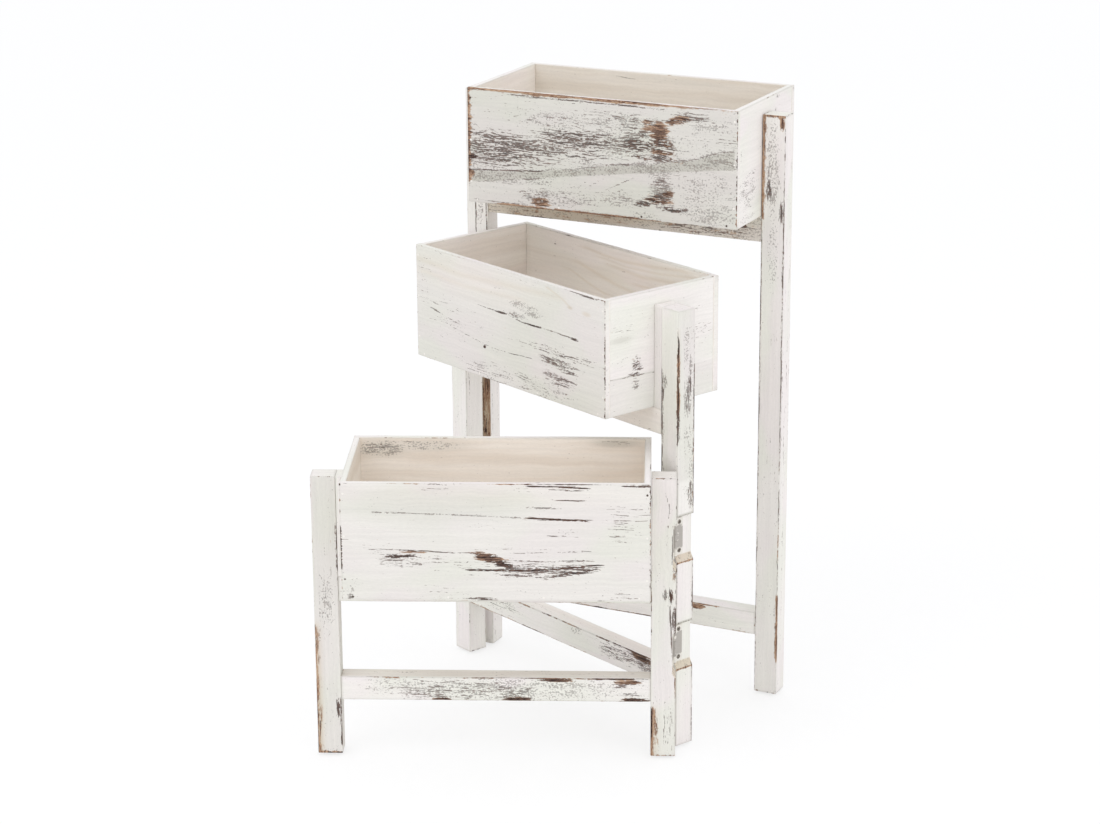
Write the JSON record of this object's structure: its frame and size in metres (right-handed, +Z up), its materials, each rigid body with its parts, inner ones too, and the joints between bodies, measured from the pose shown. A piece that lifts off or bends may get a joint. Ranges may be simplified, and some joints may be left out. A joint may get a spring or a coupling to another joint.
{
  "type": "plant stand",
  "caption": "Three-tier folding wooden plant stand: hinged post frames in a zigzag, each with an open planter box.",
  "frame": {"origin": "on the floor under the middle of the stand's plan box, as it is set up in the picture", "axes": "+Z up, +X along the low frame from its left post to its right post, -Y towards the viewer"},
  "size_m": [0.5762, 0.5248, 0.768],
  "materials": {
    "whitewashed_wood": "thin white paint, rubbed through to the wood",
    "dowel_wood": "raw beech",
    "hinge_steel": "dull zinc plate",
    "zinc_screws": "dull zinc plate",
    "bright_nails": "bare steel, darkened",
    "glide_plastic": "moulded brown plastic"
  },
  "bodies": {
    "middle_frame": {"middle_left_post": "whitewashed_wood", "middle_right_post": "whitewashed_wood", "middle_upper_rail": "whitewashed_wood", "middle_lower_rail": "whitewashed_wood", "middle_spacer": "whitewashed_wood", "middle_box_front": "whitewashed_wood", "middle_box_back": "whitewashed_wood", "middle_box_left_end": "whitewashed_wood", "middle_box_right_end": "whitewashed_wood", "middle_box_bottom": "whitewashed_wood", "middle_dowels": "dowel_wood", "middle_box_nails": "bright_nails", "middle_box_screws": "zinc_screws", "middle_glides": "glide_plastic", "right_lower_hinge_middle_leaf": "hinge_steel", "right_lower_hinge_pin": "hinge_steel", "right_upper_hinge_middle_leaf": "hinge_steel", "right_upper_hinge_pin": "hinge_steel", "left_lower_hinge_middle_leaf": "hinge_steel", "left_lower_hinge_pin": "hinge_steel", "left_upper_hinge_middle_leaf": "hinge_steel", "left_upper_hinge_pin": "hinge_steel", "middle_hinge_screws": "zinc_screws"},
    "low_frame": {"low_left_post": "whitewashed_wood", "low_right_post": "whitewashed_wood", "low_upper_rail": "whitewashed_wood", "low_lower_rail": "whitewashed_wood", "low_spacer": "whitewashed_wood", "low_box_front": "whitewashed_wood", "low_box_back": "whitewashed_wood", "low_box_left_end": "whitewashed_wood", "low_box_right_end": "whitewashed_wood", "low_box_bottom": "whitewashed_wood", "low_dowels": "dowel_wood", "low_box_nails": "bright_nails", "low_box_screws": "zinc_screws", "low_glides": "glide_plastic", "right_lower_hinge_low_leaf": "hinge_steel", "right_upper_hinge_low_leaf": "hinge_steel", "low_hinge_screws": "zinc_screws"},
    "tall_frame": {"tall_left_post": "whitewashed_wood", "tall_right_post": "whitewashed_wood", "tall_upper_rail": "whitewashed_wood", "tall_lower_rail": "whitewashed_wood", "tall_spacer": "whitewashed_wood", "tall_box_front": "whitewashed_wood", "tall_box_back": "whitewashed_wood", "tall_box_left_end": "whitewashed_wood", "tall_box_right_end": "whitewashed_wood", "tall_box_bottom": "whitewashed_wood", "tall_dowels": "dowel_wood", "tall_box_nails": "bright_nails", "tall_box_screws": "zinc_screws", "tall_glides": "glide_plastic", "left_lower_hinge_tall_leaf": "hinge_steel", "left_upper_hinge_tall_leaf": "hinge_steel", "tall_hinge_screws": "zinc_screws"}
  },
  "joints": [
    {"name": "low_frame_fold", "type": "hinge", "parent": "middle_frame", "child": "low_frame", "pos_m": [0.1437, -0.15712, 0], "axis": [0, 0, 1], "range_deg": [-48, 42]},
    {"name": "tall_frame_fold", "type": "hinge", "parent": "middle_frame", "child": "tall_frame", "pos_m": [-0.12142, 0.18306, 0], "axis": [0, 0, 1], "range_deg": [-24, 66]}
  ]
}
